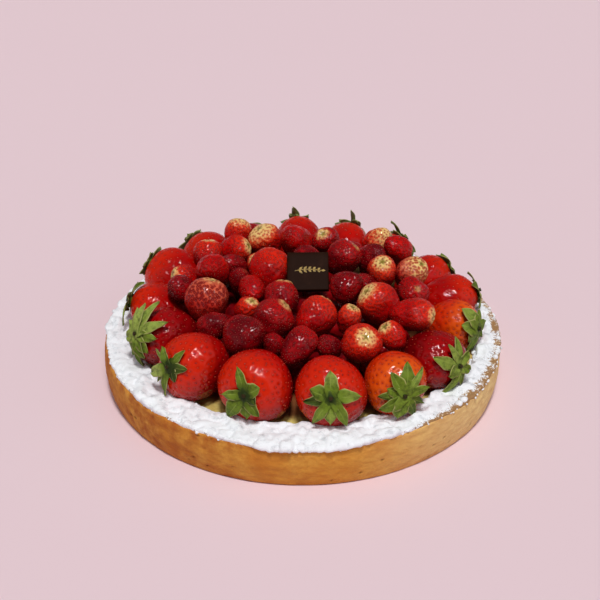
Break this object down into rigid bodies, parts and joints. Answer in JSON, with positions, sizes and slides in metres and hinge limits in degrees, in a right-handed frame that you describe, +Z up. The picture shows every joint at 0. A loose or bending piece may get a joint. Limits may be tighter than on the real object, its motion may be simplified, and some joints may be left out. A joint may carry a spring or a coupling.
{
  "type": "strawberry tart",
  "caption": "Round shortcrust tart with pastry cream, a ring of large leafy strawberries round a heap of small ones, a dusted rim and a square dark chocolate plaque.",
  "frame": {"origin": "centre of the tart's flat base, at the surface it rests on", "axes": "+Z up through the middle of the tart; -Y towards the front, which the chocolate plaque's face leans towards; +X to the right seen from the front"},
  "size_m": [0.222, 0.222, 0.0666],
  "materials": {
    "crust": "baked shortcrust, golden brown, matte with fine pits",
    "pastry_cream": "set pastry cream, satin",
    "icing_sugar": "clumped icing sugar, fully matte",
    "strawberry_red": "glazed strawberry skin, wet gloss",
    "strawberry_dark": "glazed wine-red strawberry skin, wet gloss",
    "strawberry_orange": "glazed orange-red strawberry skin, wet gloss",
    "strawberry_pale": "glazed strawberry skin with pale shoulders, wet gloss",
    "strawberry_seed": "seeds, straw yellow, satin",
    "strawberry_leaf": "fresh strawberry leaves, satin",
    "dark_chocolate": "tempered dark chocolate, satin",
    "gold_print": "thin matt gold print"
  },
  "bodies": {
    "root": {"crust": "crust", "pastry_cream": "pastry_cream", "heap_lower_layer": "strawberry_dark", "chocolate_plaque": "dark_chocolate", "ring_strawberry_01": "strawberry_dark", "ring_strawberry_02": "strawberry_red", "ring_strawberry_03": "strawberry_red", "ring_strawberry_04": "strawberry_red", "ring_strawberry_05": "strawberry_orange", "ring_strawberry_06": "strawberry_dark", "ring_strawberry_07": "strawberry_orange", "ring_strawberry_08": "strawberry_red", "ring_strawberry_09": "strawberry_red", "ring_strawberry_10": "strawberry_red", "ring_strawberry_11": "strawberry_red", "ring_strawberry_12": "strawberry_red", "ring_strawberry_13": "strawberry_dark", "ring_strawberry_14": "strawberry_red", "ring_strawberry_15": "strawberry_red", "ring_strawberry_16": "strawberry_red", "small_strawberry_01": "strawberry_pale", "small_strawberry_02": "strawberry_red", "small_strawberry_03": "strawberry_pale", "small_strawberry_04": "strawberry_red", "small_strawberry_05": "strawberry_dark", "small_strawberry_06": "strawberry_dark", "small_strawberry_07": "strawberry_pale", "small_strawberry_08": "strawberry_dark", "small_strawberry_09": "strawberry_dark", "small_strawberry_10": "strawberry_red", "small_strawberry_11": "strawberry_pale", "small_strawberry_12": "strawberry_pale", "small_strawberry_13": "strawberry_dark", "small_strawberry_14": "strawberry_dark", "small_strawberry_15": "strawberry_red", "small_strawberry_16": "strawberry_red", "small_strawberry_17": "strawberry_red", "small_strawberry_18": "strawberry_pale", "small_strawberry_19": "strawberry_red", "small_strawberry_20": "strawberry_red", "small_strawberry_21": "strawberry_dark", "small_strawberry_22": "strawberry_dark", "small_strawberry_23": "strawberry_dark", "small_strawberry_24": "strawberry_dark", "small_strawberry_25": "strawberry_dark", "small_strawberry_26": "strawberry_dark", "small_strawberry_27": "strawberry_pale", "small_strawberry_28": "strawberry_red", "small_strawberry_29": "strawberry_red", "small_strawberry_30": "strawberry_dark", "small_strawberry_31": "strawberry_red", "small_strawberry_32": "strawberry_red", "small_strawberry_33": "strawberry_red", "small_strawberry_34": "strawberry_dark", "small_strawberry_35": "strawberry_red", "small_strawberry_36": "strawberry_pale", "small_strawberry_37": "strawberry_dark", "small_strawberry_38": "strawberry_dark", "small_strawberry_39": "strawberry_dark", "small_strawberry_40": "strawberry_dark"}
  },
  "joints": []
}
